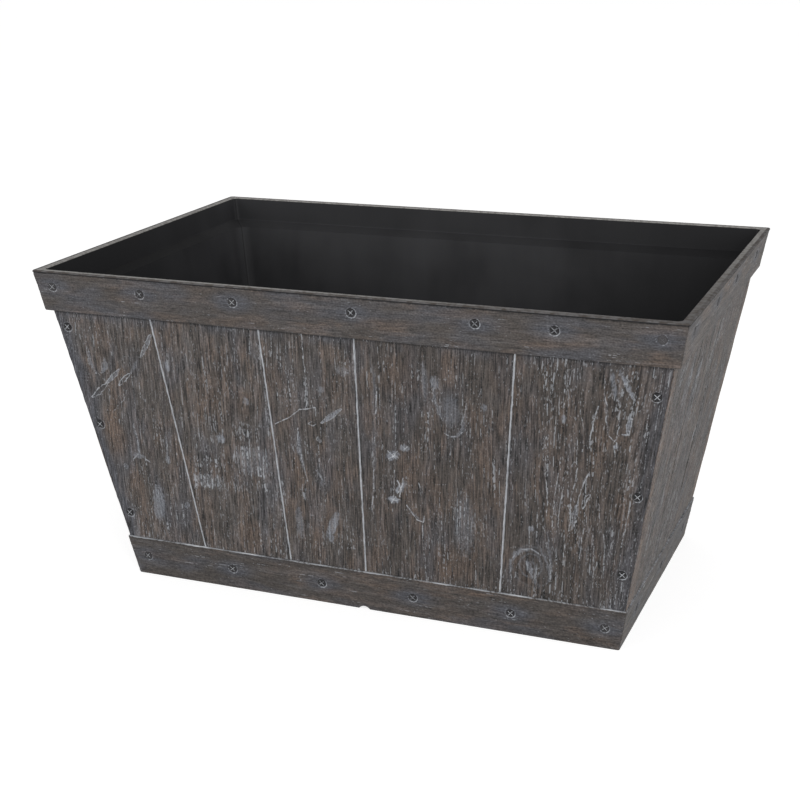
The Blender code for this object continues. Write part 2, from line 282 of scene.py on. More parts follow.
def woodMaterial(name, looks):
    # "grain" holds millimetres across and along the fibre and a number for the board
    # "marks" holds laid wash in red, dense dashes in green, bare raised wood in blue and smears in alpha
    # "tint" holds how blue, how dark from dirt and painted shade, and how warm a place is
    desk = Desk(name)
    across, along, board = desk.parts(desk.attribute("grain"))
    laid, dense, bare = desk.drawn()
    smeared = desk.attribute("marks", "Alpha")
    chill, dirtAndShade, warm = desk.parts(desk.attribute("tint"))

    def pattern(kind, x, y):
        wide, tall, number, detail, roughness = woodPatterns[kind]
        return desk.noise(desk.joined(x * wide, y * tall, board + number), detail=detail, roughness=roughness)

    sway = (across + (pattern("wander", across, along) - 0.5) * wood["wander"]) * (1 / looks["broad"])
    stain, cold, streaks = [pattern(kind, sway, along) for kind in ("stain", "cold", "streaks")]
    finer = along * looks["short"]
    fibres, hairs, pores = [pattern(kind, sway, finer) for kind in ("fibres", "hairs", "pores")]
    columns, breaks, scatter, grit = [pattern(kind, sway, along)
                                      for kind in ("columns", "breaks", "scatter", "grit")]
    dust = pattern("dust", across, along)
    # body colour
    warmest = 0.60 - looks["brown"] * 0.3
    warmth = desk.step(stain + (streaks - 0.5) * 0.6, warmest, warmest + 0.16)
    colour = desk.mixed(wood["umber"], wood["brown"], warmth)
    coldness = (desk.step(cold, 0.44, 0.66) * (1.0 - looks["brown"])).largest(chill)
    colour = desk.mixed(colour, wood["slate"], coldness * 0.90)
    colour = desk.mixed(colour, wood["grey"], desk.step(streaks, 0.46, 0.70) * 0.5)
    colour = desk.mixed(colour, wood["tan"], warm * (0.35 + streaks * 0.7))
    light = 1.0 + (fibres - 0.5) * looks["fibre"] + (hairs - 0.5) * looks["fibre"] * 0.7
    light = light + (grit - 0.5) * looks["grit"] + (streaks - 0.5) * looks["bands"]
    colour = desk.scaled(colour, light * looks["light"] * (1.0 - dirtAndShade * wood["dirtAndShade"]))
    colour = desk.mixed(colour, wood["pore"], desk.step(pores, 0.60, 0.70) * looks["pore"])
    # wash that dried in the low places: smears, short dashes in straight columns, and specks
    streaky = 0.35 + desk.step(columns + grit * 0.6, 0.60, 0.90) * 0.65
    colour = desk.mixed(colour, wood["smear"], smeared * streaky)
    level = wood["washLevel"] - dense * 0.100 - smeared * 0.04 - (scatter - 0.5) * wood["washSpread"]
    level = level - looks["wash"]
    dashes = desk.step(columns - level, 0.0, 0.05) * desk.step(breaks, 0.50 - dense * 0.01, 0.55)
    specks = desk.step(dust - level - 0.01, 0.085, 0.13)
    strokes = desk.step(laid + (grit - 0.5) * 0.5 + (columns - 0.5) * 0.3, 0.20, 0.70)
    washed = (dashes * (0.54 + dense * 0.28)).largest(specks * 0.36).largest(strokes * 0.90)
    colour = desk.mixed(colour, wood["wash"], washed * (1.0 - bare * 0.5))
    colour = desk.mixed(colour, wood["bright"], desk.step(laid, 0.66, 0.95) * (breaks * 1.4 - 0.05))
    height = fibres * 0.7 + streaks * 0.3 + grit * 0.2 - desk.step(pores, 0.58, 0.70) * 0.7 - dashes * 0.25
    roughness = wood["roughness"] + washed * 0.2 - bare * 0.08
    return desk.finish(colour, roughness, height, wood["bumpDepth"], wood["bump"], wood["shine"])


def smoothNoise(x, y, seed):
    # from about -1 to 1, the same on every run
    angles = np.random.RandomState(seed).uniform(0, 2 * pi, (256, 256))
    cellX = np.floor(x).astype(int)
    cellY = np.floor(y).astype(int)
    partX = x - cellX
    partY = y - cellY
    fadeX = partX ** 3 * (partX * (6 * partX - 15) + 10)
    fadeY = partY ** 3 * (partY * (6 * partY - 15) + 10)
    corner = {}
    for stepX in (0, 1):
        for stepY in (0, 1):
            angle = angles[(cellX + stepX) % 256, (cellY + stepY) % 256]
            corner[stepX, stepY] = np.cos(angle) * (partX - stepX) + np.sin(angle) * (partY - stepY)
    low = corner[0, 0] * (1 - fadeX) + corner[1, 0] * fadeX
    high = corner[0, 1] * (1 - fadeX) + corner[1, 1] * fadeX
    return 1.45 * (low * (1 - fadeY) + high * fadeY)


def softStep(value, low, high):
    part = np.clip((value - low) / (high - low), 0, 1)
    return part * part * (3 - 2 * part)


def toStroke(u, v, points):
    # distance from every place to a drawn line, and how far along it the place is, from 0 to 1
    nearest = np.full(u.shape, 1e9)
    along = np.zeros(u.shape)
    for number, ((u0, v0), (u1, v1)) in enumerate(zip(points, points[1:])):
        runU, runV = u1 - u0, v1 - v0
        part = np.clip(((u - u0) * runU + (v - v0) * runV) / (runU ** 2 + runV ** 2), 0, 1)
        away = np.hypot(u - u0 - part * runU, v - v0 - part * runV)
        closer = away < nearest
        nearest = np.where(closer, away, nearest)
        along = np.where(closer, (number + part) / (len(points) - 1), along)
    return nearest, along


# the marks on the front staves, in millimetres across from the middle and down from the lip
frontMarks = {
    # thin lines that the wash filled, with their strength
    "cracks": [
        (0.55, [(-247, 143), (-238, 134), (-232, 128), (-227, 118)]),
        (0.55, [(-262, 86), (-262, 98), (-254, 105), (-249, 110)]),
        (0.45, [(-219, 112), (-221, 134), (-223, 156)]),
        (0.35, [(-240, 150), (-239, 175), (-241, 200)]),
        (0.40, [(-191, 118), (-190, 138), (-192, 158)]),
        (0.60, [(-181, 158), (-182, 176), (-184, 194)]),
        (0.40, [(-232, 168), (-235, 200), (-236, 232)]),
        (0.60, [(-134, 127), (-135, 140), (-136, 152)]),
        (0.55, [(-118, 83), (-116, 98), (-113, 114)]),
        (0.40, [(-92, 76), (-92, 92), (-90, 108)]),
        (0.90, [(-36, 38), (-36.5, 66), (-37.5, 95), (-38.5, 113)]),
        (0.90, [(-73, 135), (-56, 125.5), (-46, 117), (-38, 115.5), (-30, 113)]),
        (0.80, [(-33, 107), (-33, 113), (-30, 114), (-30.5, 122)]),
        (0.50, [(-27.5, 130), (-27.5, 149)]),
        (0.50, [(-4, 111), (-3, 99), (-2.5, 86)]),
        (0.75, [(-50, 136), (-51.5, 150), (-50, 166), (-46, 192)]),
        (0.45, [(-20, 162), (-24, 173)]),
        (0.65, [(-36, 179), (-31, 188), (-34, 180)]),
        (0.35, [(32, 54), (31.5, 74), (31, 90)]),
        (0.85, [(31, 90), (29.5, 104), (28, 117)]),
        (0.75, [(25.5, 136), (25, 144)]),
        (0.70, [(23, 157), (21.5, 172), (20, 190)]),
        (0.75, [(18.5, 198), (16.5, 213)]),
        (0.50, [(47, 74), (45.5, 96), (42, 108)]),
        (0.45, [(58, 92), (55, 116), (52, 136)]),
        (0.70, [(42, 168), (40.5, 184), (38.5, 198)]),
        (0.95, [(51, 203), (56, 211), (60, 217), (66, 219), (68, 212)]),
        (0.90, [(65, 178), (66, 191)]),
        (0.80, [(65.5, 220), (64.5, 236)]),
        (0.55, [(64.5, 238), (64.5, 262), (65, 279)]),
        (0.55, [(85, 72), (84, 90), (88, 103), (91, 112)]),
        (0.60, [(114, 92), (112, 102), (108, 114)]),
        (0.70, [(92, 124), (97, 127), (104, 126), (109, 121)]),
        (0.50, [(129, 75), (125, 85)]),
        (0.45, [(78, 170), (78, 182)]),
        (0.40, [(78, 178), (91, 176)]),
        (0.55, [(204, 40), (204, 60), (205, 86)]),
        (0.80, [(236, 56), (235, 70), (238, 85), (236, 92), (238, 108), (243, 113)]),
        (0.85, [(230, 82), (226, 97), (223, 110), (222, 122)]),
        (0.65, [(215, 75), (214, 88), (217, 100), (218, 106)]),
        (0.70, [(248, 98), (245, 110), (243, 115), (244, 128)]),
        (0.75, [(182, 146), (183, 165), (184, 180), (182, 195)]),
        (0.75, [(194, 150), (192, 162), (190, 175), (189, 190), (187, 205)]),
        (0.75, [(199, 163), (195, 180), (193, 195), (193, 207)]),
        (0.80, [(211, 143), (209, 157), (205, 172), (204, 182), (203, 195), (202, 207)]),
        (0.55, [(206, 149), (206, 142), (209, 137), (211, 141)]),
        (0.80, [(221, 147), (217, 155), (213, 168), (210, 180), (209, 195), (207, 207)]),
        (0.65, [(229, 175), (230, 190), (229, 200)]),
        (0.75, [(198, 210), (198, 225), (196, 243)]),
        (0.75, [(216, 202), (214, 212), (213, 222), (211, 236)]),
        (0.60, [(224, 200), (224, 240), (223, 262)]),
        (0.55, [(233, 205), (234, 225), (233, 245)]),
        (0.70, [(256, 175), (254, 187), (252, 198), (250, 210)]),
        (0.55, [(262, 125), (260, 140), (258, 155)]),
        (0.50, [(270, 122), (269, 138), (266, 152), (264, 172)]),
        (0.60, [(245, 262), (242, 276)]),
        (0.60, [(248, 224), (247, 240)]),
        (0.60, [(180, 205), (181, 222), (184, 240), (186, 252)]),
        (0.50, [(233, 148), (232, 160), (233, 172)]),
        (0.45, [(240, 164), (242, 174)]),
        (0.45, [(189, 45), (188, 62), (190, 84), (188, 100)]),
        (0.40, [(240, 205), (241, 230), (239, 262)]),
        (0.45, [(270, 60), (268, 84), (264, 108)]),
        (0.45, [(284, 50), (281, 78), (276, 104)]),
        (0.45, [(222, 268), (219, 278)]),
        (1.00, [(37, 149), (45, 157)]),
        (1.00, [(37, 157), (43, 153), (46, 148)]),
        (0.90, [(42, 151), (47, 155)]),
        (0.80, [(50, 141), (56, 147)]),
        (0.70, [(51, 147), (57, 142)]),
        (1.00, [(44, 178), (47, 187), (45, 195)]),
        (1.00, [(50, 175), (48, 184), (43, 192)]),
        (1.00, [(34, 197), (40, 200), (45, 198)]),
        (0.95, [(36, 203), (41, 196)]),
        (0.80, [(158, 233), (168, 231), (176, 236)]),
        (0.60, [(147, 262), (148, 246), (154, 236)]),
        (0.60, [(162, 244), (165, 256), (171, 266)]),
        (0.70, [(-226, 152), (-224, 170), (-225, 186)]),
        (0.65, [(-233, 193), (-225, 186), (-214, 194)]),
        (0.70, [(-192, 158), (-191, 172), (-195, 192)]),
        (0.70, [(-134, 154), (-129, 161)]),
        (0.80, [(245, 114), (246, 121)]),
        (0.80, [(250, 106), (256, 106)]),
    ],
    # slots that something scraped, with their half width, their depth, and how pale the edges and the bed are
    "gouges": [
        (1.9, 0.6, 0.95, 0.10, [(-267, 129), (-257, 121), (-248, 113)]),
        (1.5, 0.5, 0.80, 0.60, [(-248, 112), (-240, 105), (-231, 96)]),
        (2.0, 0.4, 0.55, 0.60, [(-246, 86), (-246, 95), (-252, 102)]),
        (1.5, 0.4, 0.60, 0.50, [(-262, 80), (-263, 92), (-258, 103)]),
        (1.4, 0.5, 0.95, 0.20, [(-234, 113), (-228, 106), (-221, 100)]),
        (1.6, 0.5, 0.85, 0.55, [(-205, 81), (-199, 71), (-194, 63), (-191, 57)]),
        (1.7, 0.6, 0.75, 0.85, [(-25, 128), (-15, 120), (-5, 112)]),
        (1.5, 0.8, 0.80, 0.0, [(-38, 130.5), (-32, 130)]),
        (1.2, 0.4, 0.70, 0.50, [(-31, 143), (-29, 149)]),
        (1.9, 0.5, 0.40, 0.60, [(-50, 140), (-51, 158), (-48, 182)]),
        (1.6, 0.5, 0.55, 0.80, [(248, 47), (253, 58), (258, 68), (260, 73)]),
        (1.7, 0.5, 0.85, 0.80, [(257, 86), (255, 105)]),
        (1.2, 0.6, 0.80, 0.0, [(221, 168), (217, 175), (215, 182)]),
        (2.4, 0.5, 0.70, 0.50, [(-245, 202), (-241, 202)]),
        (1.4, 0.4, 0.70, 0.60, [(211, 176), (208, 190), (205, 204)]),
    ],
    # broad soft strokes of wash: half width and strength
    "trails": [
        (2.2, 0.55, [(85, 80), (85, 95), (89, 106), (92, 113)]),
        (1.8, 0.60, [(92, 122), (97, 127), (104, 126), (110, 118), (112, 106), (115, 92)]),
        (2.6, 0.75, [(147, 264), (147, 250), (151, 240), (158, 233.5), (167, 231), (176, 236)]),
        (1.6, 0.60, [(173, 221), (178, 234), (183, 246), (185, 258), (180, 267)]),
        (1.8, 0.55, [(160, 243), (163, 252), (168, 262), (173, 272)]),
        (1.4, 0.50, [(168, 240), (171, 250), (170, 262), (176, 274)]),
        (2.0, 0.50, [(-36, 179), (-31, 188), (-33, 196)]),
        (1.6, 0.55, [(51, 203), (57, 212), (66, 218)]),
        (1.5, 0.45, [(236, 60), (236, 90), (240, 112)]),
        (1.4, 0.50, [(212, 200), (212, 236)]),
        (1.2, 0.50, [(182, 208), (184, 232), (187, 252)]),
        (2.0, 0.45, [(-226, 150), (-224, 178), (-226, 190)]),
        (1.6, 0.45, [(-232, 193), (-225, 186), (-214, 194)]),
        (2.2, 0.50, [(-221, 100), (-214, 92), (-209, 84)]),
        (1.6, 0.40, [(-192, 160), (-192, 178), (-196, 190)]),
        (2.6, 0.35, [(28, 54), (30, 80), (27, 120), (22, 180), (16, 214)]),
    ],
    # pale smears: middle, half sizes, lean and strength
    "smears": [
        (-211, 239, 7, 19, -0.10, 0.60), (-215, 250, 4, 7, 0, 0.50), (-25, 237, 4.5, 16, -0.40, 0.75),
        (-28, 250, 3, 6, 0, 0.60), (-226, 188, 7, 3, 0, 0.50), (243, 62, 2.5, 12, 0.1, 0.55),
        (100, 102, 8, 15, 0, 0.30), (77, 76, 3, 20, 0, 0.36), (86, 76, 4, 6, 0, 0.5),
        (-59, 238, 4, 18, 0, 0.40), (0, 74, 6, 5, 0, 0.35), (-22, 94, 3, 3, 0, 0.5),
        (106, 215, 10, 32, 0, 0.24),
        (168, 210, 3, 2.5, 0, 0.70), (165, 250, 2.5, 8, 0.3, 0.60), (-193, 188, 2.5, 4.5, 0, 0.60),
        (-132, 158, 4.5, 4, 0, 0.80), (41, 153, 6, 5, -0.5, 0.85), (53, 144, 4.5, 3.5, 0, 0.65),
        (46, 187, 3.5, 6, -0.4, 0.90), (50, 181, 1.8, 4, 0, 0.80), (39, 199, 5.5, 3.5, 0, 0.90),
        (245, 118, 2, 3, 0, 0.9), (252, 106, 2.5, 1, 0, 0.9), (-178, 236, 1.2, 3, 0, 0.8),
        (-181, 238, 1, 3, 0, 0.7), (-178, 88, 2, 5, 0.2, 0.7), (130, 95, 3, 4, 0, 0.5),
        (200, 97, 2, 4, 0, 0.8),
        (-100, 115, 3, 4, 0, 0.6), (-151, 206, 16, 8, 0, 0.25), (-100, 178, 18, 16, 0, 0.25),
    ],
    # areas of short dashes: left, right, top, bottom and strength
    "patches": [
        (-161, -140, 152, 163, 1.0), (-163, -141, 163, 177, 0.55), (-166, -140, 177, 194, 0.95),
        (-141, -129, 171, 196, 0.9), (-169, -128, 198, 217, 1.0), (-118, -96, 138, 158, 0.85),
        (-97, -75, 138, 158, 0.75), (-121, -76, 160, 196, 0.95), (-127, -76, 197, 215, 0.75),
        (-160, -108, 58, 112, 0.28), (-72, -42, 76, 117, 0.50), (-60, -48, 143, 182, 0.6),
        (-12, 12, 60, 100, 0.25), (-68, -40, 195, 212, 0.4), (-40, -24, 150, 210, 0.3),
        (-250, -188, 240, 281, 0.50), (-222, -202, 218, 262, 0.45), (-200, -176, 196, 262, 0.42),
        (-240, -178, 120, 200, 0.22), (-286, -262, 38, 90, 0.30), (-222, -200, 82, 108, 0.5),
        (-110, -76, 240, 281, 0.25), (-160, -146, 240, 281, 0.25), (-78, 10, 38, 60, 0.20),
        (92, 122, 180, 256, 0.30), (70, 118, 56, 124, 0.22), (108, 140, 130, 180, 0.22),
        (178, 216, 40, 130, 0.52), (216, 262, 40, 130, 0.36), (178, 262, 130, 215, 0.34),
        (176, 250, 215, 281, 0.30), (262, 290, 44, 120, 0.30), (236, 262, 196, 281, 0.34),
        (140, 176, 200, 240, 0.2), (10, 70, 60, 210, 0.10),
    ],
    # warm stains: middle, half sizes and strength
    "stains": [
        (-247, 168, 11, 30, 0.9), (-243, 66, 9, 18, 0.5), (-232, 225, 12, 22, 0.4), (-128, 115, 30, 34, 0.4),
        (-111, 263, 10, 20, 0.7), (-160, 240, 12, 30, 0.4), (-128, 190, 5, 30, 0.5), (-10, 58, 10, 10, 0.4),
        (-16, 192, 7, 22, 0.6), (-42, 262, 8, 20, 0.6), (-60, 190, 8, 40, 0.4), (55, 76, 20, 24, 0.6),
        (100, 62, 9, 22, 0.7), (24, 122, 12, 20, 0.6), (60, 160, 10, 30, 0.5), (78, 190, 9, 34, 0.6),
        (88, 258, 16, 20, 0.8), (130, 125, 16, 40, 0.4), (145, 60, 12, 24, 0.4), (173, 100, 10, 30, 0.5),
        (206, 108, 7, 18, 0.4), (206, 165, 20, 30, 0.35), (252, 180, 8, 20, 0.6), (232, 110, 12, 20, 0.3),
    ],
    # dark streaks along the fibre: middle, half sizes and strength
    "streaks": [
        (-267, 130, 2.5, 30, 0.5), (-162, 118, 2, 26, 0.6), (-131, 100, 2, 20, 0.35), (52, 115, 4, 22, 0.5),
        (44, 133, 4, 8, 0.5), (97, 142, 3, 16, 0.4), (33, 256, 1.2, 20, 0.7), (-100, 155, 6, 3, 0.5),
        (268, 112, 4, 40, 0.4), (-51, 232, 2, 30, 0.4), (132, 184, 8, 14, 0.35), (-70, 90, 3, 20, 0.3),
        (162, 252, 3, 14, 0.4), (196, 118, 2, 26, 0.35), (70, 115, 2, 20, 0.35), (-220, 126, 1.2, 14, 0.5),
    ],
    "knots": [(167, 249, 19, 22)],
    # how dark each stave is, from left to right
    "tones": (0.0, 0.03, 0.11, 0.34, 0.38),
}


def chanceMarks(wall, count, seed):
    # the other walls are worn in the same way, each in its own places
    some = np.random.RandomState(seed)
    draw = some.uniform
    half = wall["span"] * 1000
    marks = {kind: [] for kind in frontMarks}

    def wandered(u, v, turn, count, shortest, longest):
        path = [(u, v)]
        for _ in range(count):
            turn += draw(-0.35, 0.35)
            length = draw(shortest, longest)
            u, v = u + sin(turn) * length, v + cos(turn) * length
            path.append((u, v))
        return path

    for _ in range(count):
        u, v = draw(-0.76, 0.76) * half, draw(60, 230)
        for _ in range(5):
            path = wandered(u + draw(-22, 22), v + draw(-30, 30), draw(-0.15, 0.1), some.randint(1, 4), 8, 20)
            marks["cracks"].append((draw(0.4, 0.85), path))
        path = wandered(draw(-0.76, 0.76) * half, draw(60, 240), draw(-1.1, 1.1), 2, 7, 14)
        marks["gouges"].append((draw(1.1, 1.8), 0.5, draw(0.4, 0.7), draw(0, 0.45), path))
        for _ in range(3):
            marks["smears"].append((draw(-0.8, 0.8) * half, draw(60, 260), draw(1.5, 6), draw(4, 16),
                                    draw(-0.3, 0.3), draw(0.3, 0.7)))
            path = wandered(draw(-0.8, 0.8) * half, draw(60, 230), draw(-0.5, 0.5), 2, 8, 16)
            marks["trails"].append((draw(1.2, 2.4), draw(0.35, 0.65), path))
            u, v = draw(-0.8, 0.7) * half, draw(50, 240)
            marks["patches"].append((u, u + draw(12, 40), v, v + draw(14, 50), draw(0.25, 0.9)))
            marks["stains"].append((draw(-0.8, 0.8) * half, draw(60, 260), draw(7, 20), draw(16, 36),
                                    draw(0.3, 0.7)))
            marks["streaks"].append((draw(-0.8, 0.8) * half, draw(60, 260), draw(1.5, 4), draw(12, 36),
                                     draw(0.3, 0.6)))
    marks["knots"].append((draw(-0.7, 0.7) * half, draw(90, 240), 15, 19))
    marks["tones"] = draw(0.0, 0.16, 5)
    return marks


# each screw: millimetres across from the middle, millimetres down from the lip, and how worn it is
frontScrews = {
    "rim": [(-285.5, 15.2, 0.45), (-192.35, 15.2, 0.25), (-98.3, 15.2, 0.3), (15.7, 15.2, 0.0),
            (127.3, 15.2, 0.0), (195.4, 15.2, 0.0), (283.4, 15.2, 0.85)],
    "base": [(-233.1, 302.8, 0.35), (-138.1, 302.8, 0.2), (-42.5, 302.8, 0.0), (50.5, 302.8, 0.1),
             (145.6, 302.8, 0.1), (233.1, 302.8, 0.4)],
    "left_edge": [(-280.4, 56.65, 0.0), (-263.3, 158.1, 0.0), (-247.0, 255.0, 0.0)],
    "right_edge": [(278.4, 68.3, 0.0), (262.2, 164.4, 0.0), (248.7, 244.55, 0.0)],
}
endScrews = {
    "rim": [(-163.5, 15.2, 0.8), (-61.2, 15.2, 0.6), (30.1, 15.2, 0.6), (140.4, 15.2, 0.7)],
    "base": [(-94.0, 302.8, 0.6), (9.9, 302.8, 0.6), (110.9, 302.8, 0.7)],
}


board = {
    "fineStep": 0.66,      # millimetres between the relief's points, on the photographed side
    "plainStep": 1.25,
    "cornerRound": 1.5,
    "cornerDrop": 0.293,   # how deep a worn round goes, as a share of its width
    "slit": 0.05,
    # where the grid's points stand near a board's edges
    "near": (0, 0.3, 0.7, 1.2, 1.9, 2.7),
}

# waves of the relief: depth, size across and along the fibre, and the noise's own number
staveGrain = ((0.26, 2.3, 46, 2), (0.16, 1.3, 26, 3), (0.26, 13, 130, 4))
bandGrain = ((0.16, 2.0, 52, 2), (0.10, 1.3, 28, 3), (0.18, 11, 120, 4))

# how the boards wear, in millimetres and in shares from 0 to 1
wear = {
    "lean": 0.06,             # the fibre leans to the left on its way down
    "cornerLean": 0.09,       # and more beside the right corner
    "upright": 160,           # the height at which it's where it would be without its lean
    "knotBend": 4,
    "knotDepth": 0.22,
    "splitDepth": 0.4,
    "crackDepth": 0.35,
    "crackWidth": 0.55,
    "trails": 0.75,
    "gougeRidge": 0.12,
    "jointWidth": 1.1,
    "jointDepth": 1.0,
    "jointWash": 0.98,        # how far the wash reaches from a joint
    "underRim": 3.6,          # the width of the painted shadow line under the rim board
    "screwDish": 5.6,
    "screwRing": 4.9,
}


def spacing(length, step, near):
    # places from 0 to 1 along a side: close together near the two edges, even between
    count = max(int(round((length - 2 * near[-1]) / step)), 4)
    middle = np.linspace(near[-1], length - near[-1], count + 1)
    return np.concatenate([near[:-1], middle, length - near[:-1][::-1]]) / length


def drawBoard(name, wallName, inward, heights, left, right, step, relief, notch=None):
    # a grid on the board's face, carved by relief, with sides that run back to the tub
    wall = walls[wallName]
    low, high = heights
    near = np.array(board["near"])
    across = spacing(max(abs(right[1] - left[1]), abs(right[0] - left[0])) * 1000, step, near)
    upward = spacing((high - low) / cos(box["slope"]) * 1000, step, near)
    bm = bmesh.new()
    bmesh.ops.create_grid(bm, x_segments=len(across) - 1, y_segments=len(upward) - 1, size=0.5)
    rim = [edge for edge in bm.edges if edge.is_boundary]
    run = bmesh.ops.extrude_edge_only(bm, edges=rim)
    behind = [item for item in run["geom"] if isinstance(item, bmesh.types.BMVert)]
    bmesh.ops.translate(bm, verts=behind, vec=(0, 0, -1))
    bmesh.ops.holes_fill(bm, edges=[edge for edge in bm.edges if edge.is_boundary], sides=0)
    mesh = bpy.data.meshes.new(name)
    bm.to_mesh(mesh)
    bm.free()
    count = len(mesh.vertices)
    flat = np.empty(count * 3)
    mesh.vertices.foreach_get("co", flat)
    flat = flat.reshape(-1, 3)
    s = np.interp(flat[:, 0] + 0.5, np.linspace(0, 1, len(across)), across)
    t = np.interp(flat[:, 1] + 0.5, np.linspace(0, 1, len(upward)), upward)
    sunk = -flat[:, 2]                       # 0 on the face, 1 at the back
    z = low + t * (high - low)
    leftU = left[0] + (left[1] - left[0]) * t
    rightU = right[0] + (right[1] - right[0]) * t
    u = leftU + (rightU - leftU) * s
    place = {
        "u": u * 1000,
        "v": (box["height"] - z) / cos(box["slope"]) * 1000,
        "fromLeft": (u - leftU) * 1000,
        "fromRight": (rightU - u) * 1000,
        "fromTop": (high - z) / cos(box["slope"]) * 1000,
        "fromBottom": (z - low) / cos(box["slope"]) * 1000,
    }
    # the weep notch is an arc out of the lower edge
    if notch:
        arc = (notch["wide"] ** 2 / 4 + notch["high"] ** 2) / (2 * notch["high"]) / 1000
        fromMiddle = np.minimum(np.abs(u), notch["wide"] / 2000)
        lift = np.maximum(np.sqrt(arc ** 2 - fromMiddle ** 2) - arc + notch["high"] / 1000, 0)
        z = z + lift * np.clip(1 - (z - low) / notch["reach"] * 1000, 0, 1)
    sink, grain, marks, tint = relief(place)
    depth = np.where(sunk > 0.5, (inward[1] - inward[0]) * 1000, sink) / 1000
    # a mitred side runs in at 45 degrees, a side against the next stave straight back
    slant = left[2] * (1 - s) - right[2] * s
    local = np.empty((count, 3))
    local[:, 0] = u + slant * depth
    local[:, 1] = -(reach(wall["out"], z) - inward[0] - depth)
    local[:, 2] = z
    turned = local @ np.array(Matrix.Rotation(wall["turn"], 3, "Z")).T
    mesh.vertices.foreach_set("co", turned.ravel())
    layers = (("grain", "vector", grain), ("tint", "vector", tint), ("marks", "color", marks))
    for title, field, values in layers:
        layer = mesh.attributes.new(title, f"FLOAT_{field.upper()}", "POINT")
        layer.data.foreach_set(field, np.column_stack(values).ravel())
    bm = bmesh.new()
    bm.from_mesh(mesh)
    bmesh.ops.recalc_face_normals(bm, faces=bm.faces)
    for face in bm.faces:
        face.smooth = len(face.verts) == 4
    bm.to_mesh(mesh)
    bm.free()
    obj = added(f"{name}_wood", mesh)
    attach(obj, "root")
    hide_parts(name)
    return obj


def overlay(base, value):
    np.maximum(base, value, out=base)


def waves(grain, across, along, seed):
    return sum(depth * (1 + smoothNoise(across / wide, along / tall, seed + number))
               for depth, wide, tall, number in grain)


def edgeDrop(distance, width, depth):
    # how far an eased edge falls away
    return depth * np.clip(1 - distance / width, 0, 1) ** 2


def screwRings(u, v, screws, sink, laid):
    # each screw sits in a shallow dish, with a ring of wash that is stronger below it and to its right
    for across, down, worn in screws:
        away = np.hypot(u - across, v - down)
        toward = ((u - across) + (v - down)) / np.maximum(away, 0.1) / 2 ** 0.5
        sink += 0.35 * softStep(wear["screwDish"] - away, 0.0, 1.2)
        ring = np.exp(-((away - wear["screwRing"]) / 0.6) ** 2)
        overlay(laid, (0.52 + 0.16 * toward) * (1 - worn * 0.3) * ring)


